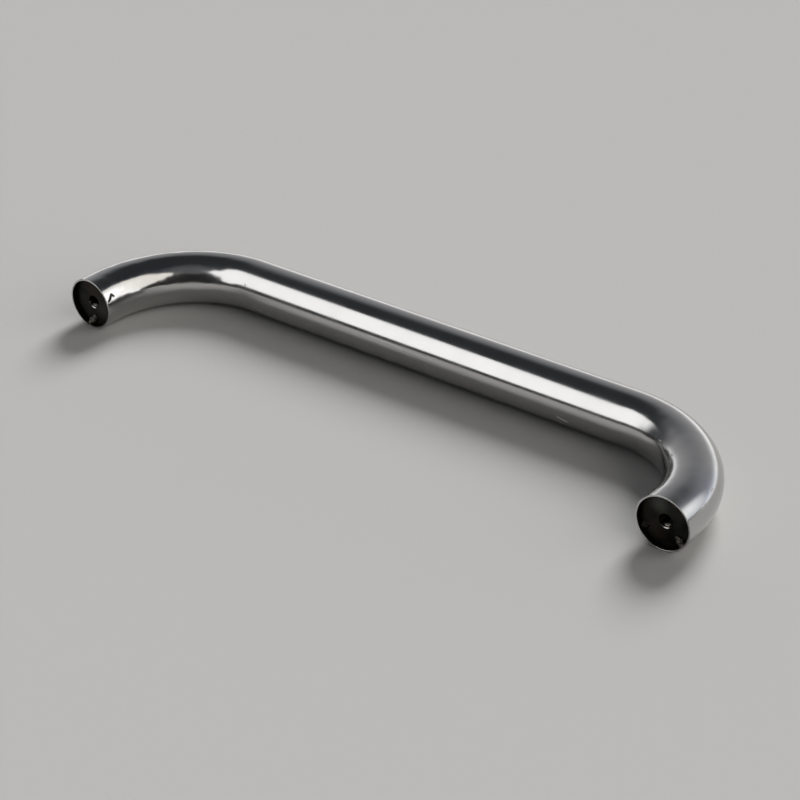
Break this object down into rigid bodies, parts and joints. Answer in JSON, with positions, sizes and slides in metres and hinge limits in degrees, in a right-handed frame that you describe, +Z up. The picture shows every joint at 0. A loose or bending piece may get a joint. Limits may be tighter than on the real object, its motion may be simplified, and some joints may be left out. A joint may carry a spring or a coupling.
{
  "type": "bridge pull handle",
  "caption": "Bridge pull handle of round polished steel tube, its bent legs closed by recessed tapped plugs that take fixing screws through a door or drawer front.",
  "frame": {"origin": "midway between the two fixing screws' axes, on the plane that the open tube ends bear on", "axes": "+X along the bar, +Y away from the door towards the bar, so screws enter along +Y and the tube ends face -Y, +Z square to the plane of the bend, so the handle lies on its side with +Z up"},
  "size_m": [0.3454, 0.074, 0.0254],
  "materials": {
    "polished_stainless": "polished along the tube to a soft mirror, with fine handling scratches",
    "turned_steel": "as turned, dull and oily dark, unpolished",
    "weld_metal": "rough solidified filler, heat-darkened at its edges"
  },
  "bodies": {
    "root": {"bent_tube": "polished_stainless", "left_tapped_plug": "turned_steel", "right_tapped_plug": "turned_steel", "left_tack_welds": "weld_metal", "right_tack_welds": "weld_metal"}
  },
  "joints": []
}
